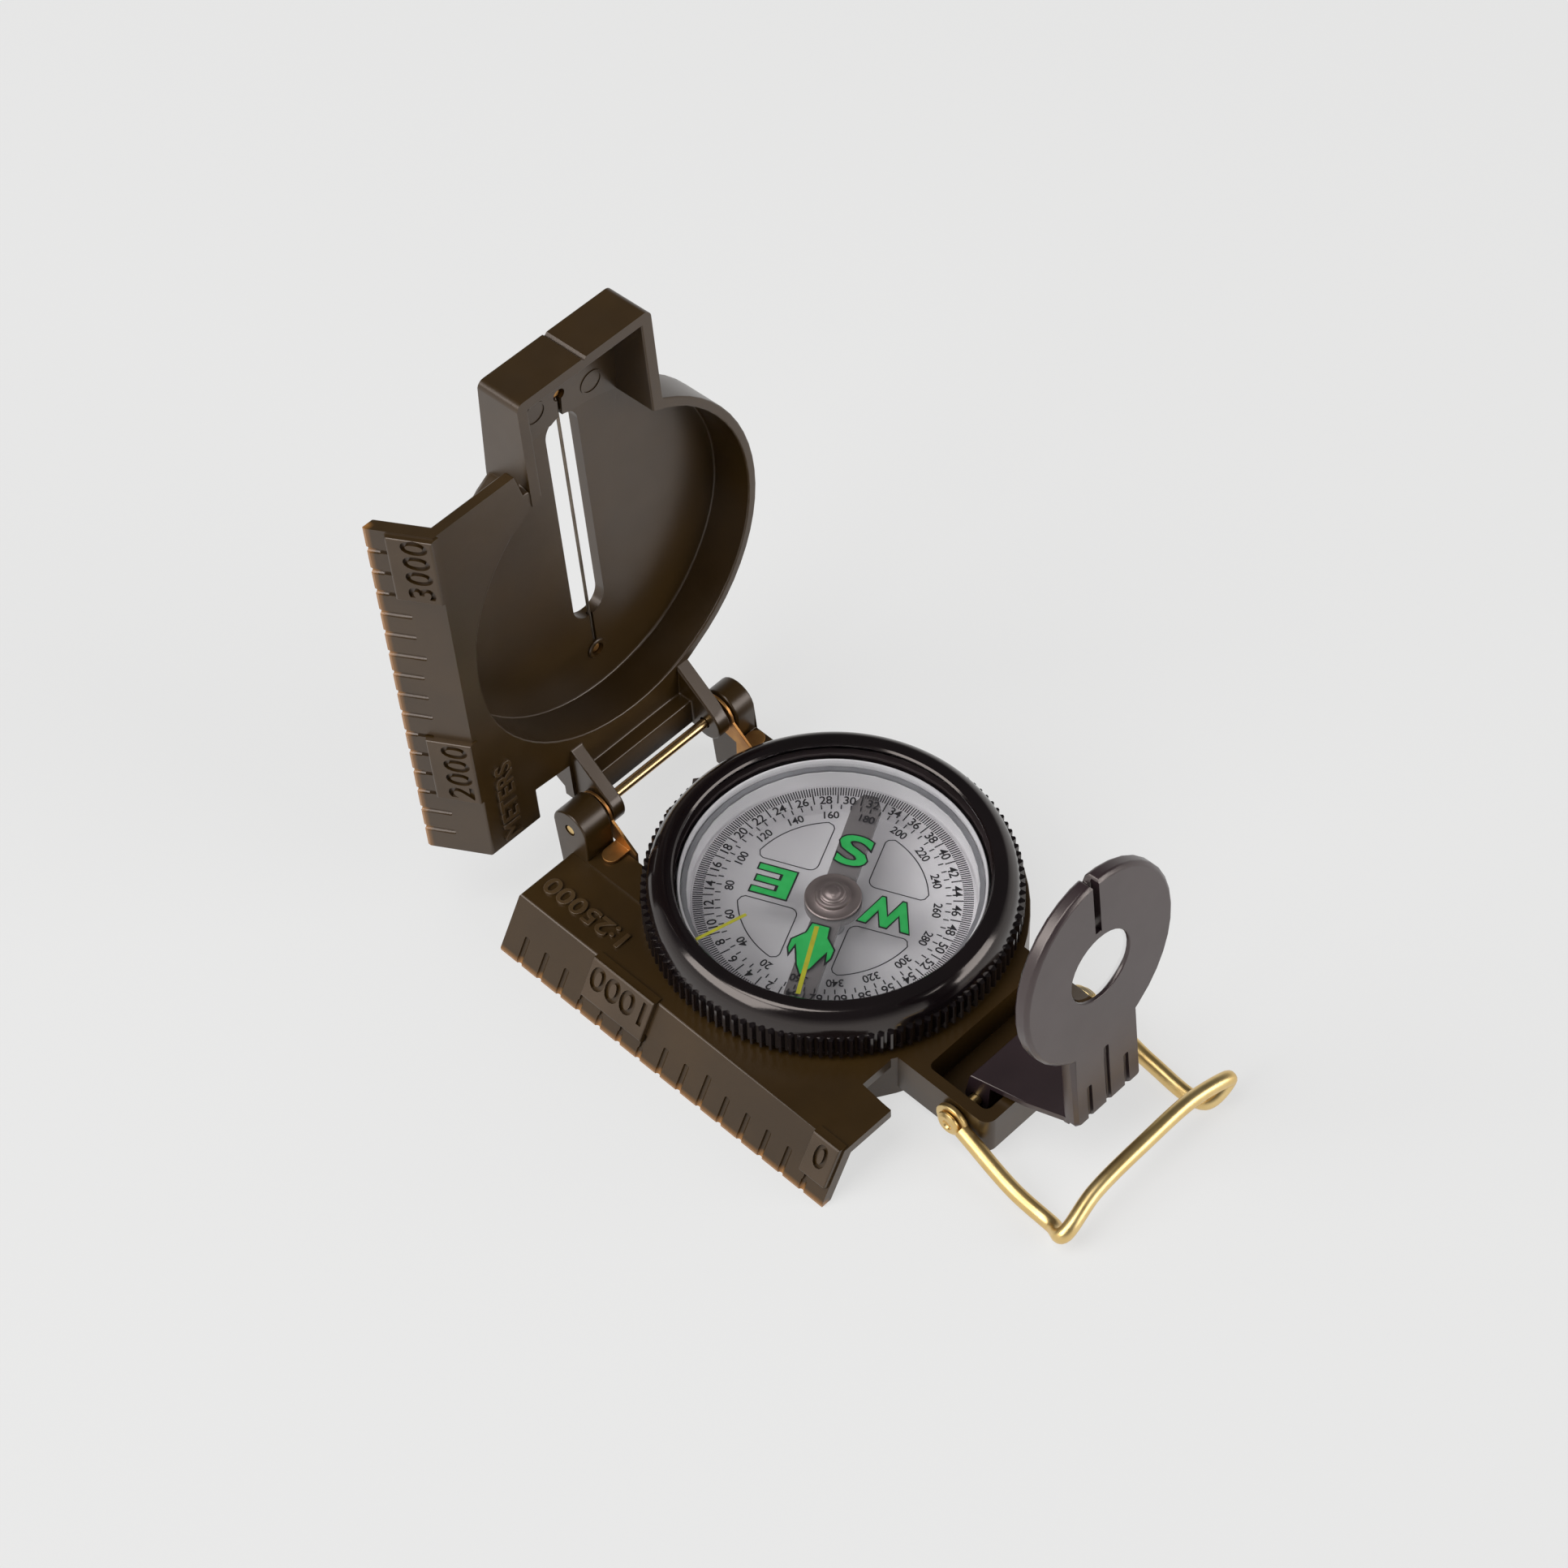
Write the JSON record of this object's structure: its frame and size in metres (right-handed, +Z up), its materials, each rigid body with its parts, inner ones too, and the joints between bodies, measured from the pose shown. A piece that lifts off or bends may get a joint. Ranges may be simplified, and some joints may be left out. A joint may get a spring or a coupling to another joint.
{
  "type": "lensatic compass",
  "caption": "Folding lensatic compass: hinged cover with sight wire and map scale, turning bezel over a floating card, folding lens bracket and wire thumb loop.",
  "frame": {"origin": "on the dial axis, at the flat underside of the base", "axes": "+Z up along the dial axis, +Y the sighting direction from the lens to the cover hinge, +X to the right, map scale edge on -X"},
  "size_m": [0.0619, 0.1126, 0.0883],
  "materials": {
    "case_plastic": "satin moulded olive-brown",
    "bezel_plastic": "polished black",
    "bracket_plastic": "satin dark grey",
    "capsule_plastic": "white moulded",
    "card_plastic": "printed",
    "gasket_rubber": "matte",
    "clear": "clear polished",
    "brass": "bright",
    "spring_metal": "darkened",
    "magnet": "dark grey",
    "steel": "drawn"
  },
  "bodies": {
    "case": {"base": "case_plastic", "hinge_pin": "brass", "hinge_clip_right": "brass", "hinge_clip_left": "brass", "click_spring": "spring_metal", "capsule_cup": "capsule_plastic", "capsule_gasket": "gasket_rubber", "capsule_lid": "clear", "pivot_post": "steel", "bracket_axle": "brass", "loop_rivet_right": "brass", "loop_rivet_left": "brass"},
    "lid": {"cover": "case_plastic", "sighting_wire": "steel", "wire_anchor_near": "brass", "wire_anchor_far": "brass"},
    "bezel": {"bezel_ring": "bezel_plastic", "bezel_crystal": "clear", "crystal_ring": "bezel_plastic"},
    "card": {"dial_card": "card_plastic", "magnet_bar": "magnet", "jewel_cap": "spring_metal"},
    "eyepiece": {"lens_bracket": "bracket_plastic", "magnifier_lens": "clear"},
    "loop": {"thumb_loop": "brass"}
  },
  "joints": [
    {"name": "cover_hinge", "type": "hinge", "parent": "case", "child": "lid", "pos_m": [0, 0.0338, 0.0136], "axis": [1, 0, 0], "range_deg": [-85, 94.5]},
    {"name": "bezel_turn", "type": "hinge", "parent": "case", "child": "bezel", "pos_m": [0, 0, 0.0132], "axis": [0, 0, 1], "continuous": true},
    {"name": "card_float", "type": "hinge", "parent": "case", "child": "card", "pos_m": [0, 0, 0.0102], "axis": [0, 0, 1], "continuous": true},
    {"name": "bracket_hinge", "type": "hinge", "parent": "case", "child": "eyepiece", "pos_m": [0, -0.0358, 0.0054], "axis": [1, 0, 0], "range_deg": [-84, 3]},
    {"name": "loop_swing", "type": "hinge", "parent": "case", "child": "loop", "pos_m": [0, -0.0358, 0.0054], "axis": [-1, 0, 0], "range_deg": [-60, 30]}
  ]
}
